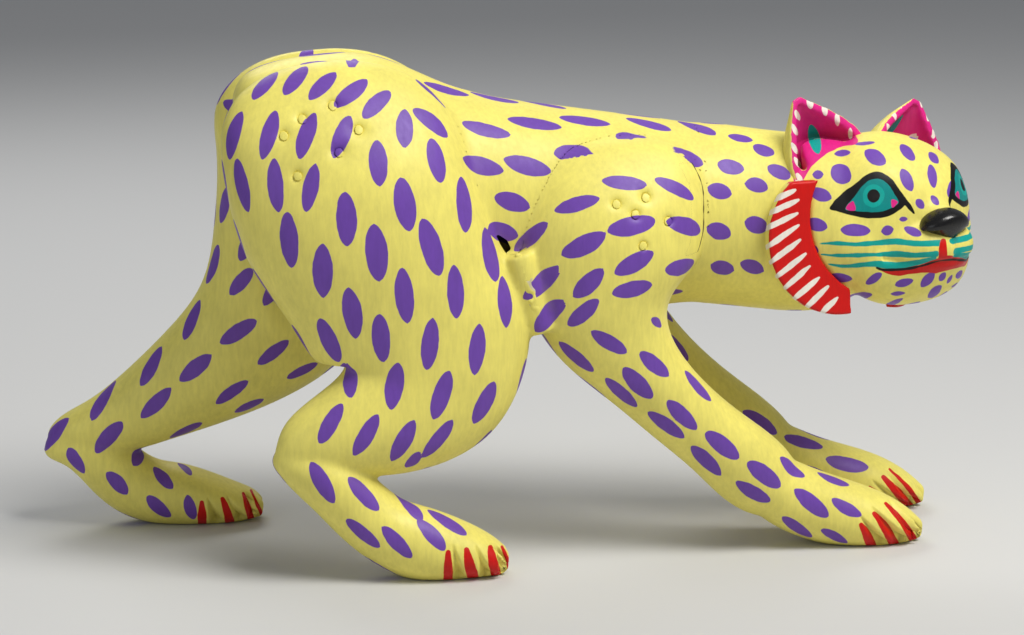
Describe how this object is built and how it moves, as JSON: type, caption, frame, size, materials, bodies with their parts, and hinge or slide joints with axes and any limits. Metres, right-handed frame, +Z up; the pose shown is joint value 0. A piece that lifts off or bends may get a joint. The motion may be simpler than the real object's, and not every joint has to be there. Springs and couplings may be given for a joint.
{
  "type": "alebrije figure",
  "caption": "Carved and painted wooden big cat in a low stalking pose, head turned to its right, built of glued and pegged blocks.",
  "frame": {"origin": "on the floor, under the middle of the figure's box", "axes": "+X the way the body faces, +Y the animal's left, +Z up"},
  "size_m": [0.5601, 0.1898, 0.3042],
  "materials": {
    "painted_wood": "hand-painted acrylic, satin",
    "painted_ear": "hand-painted acrylic, satin",
    "painted_ruff": "hand-painted acrylic, satin",
    "bare_wood": "bare, sawn",
    "filler": "rough filler, painted over"
  },
  "bodies": {
    "root": {"torso": "painted_wood", "head_and_neck": "painted_wood", "front_leg_right": "painted_wood", "front_leg_left": "painted_wood", "hind_leg_right": "painted_wood", "hind_leg_left": "painted_wood", "ear_right": "painted_ear", "ear_left": "painted_ear", "cheek_ruff_right": "painted_ruff", "cheek_ruff_left": "painted_ruff", "neck_dowel": "bare_wood", "hip_pegs_right": "painted_wood", "hip_pegs_left": "painted_wood", "shoulder_pegs_right": "painted_wood", "shoulder_pegs_left": "painted_wood", "seam_filler_right": "filler"}
  },
  "joints": []
}
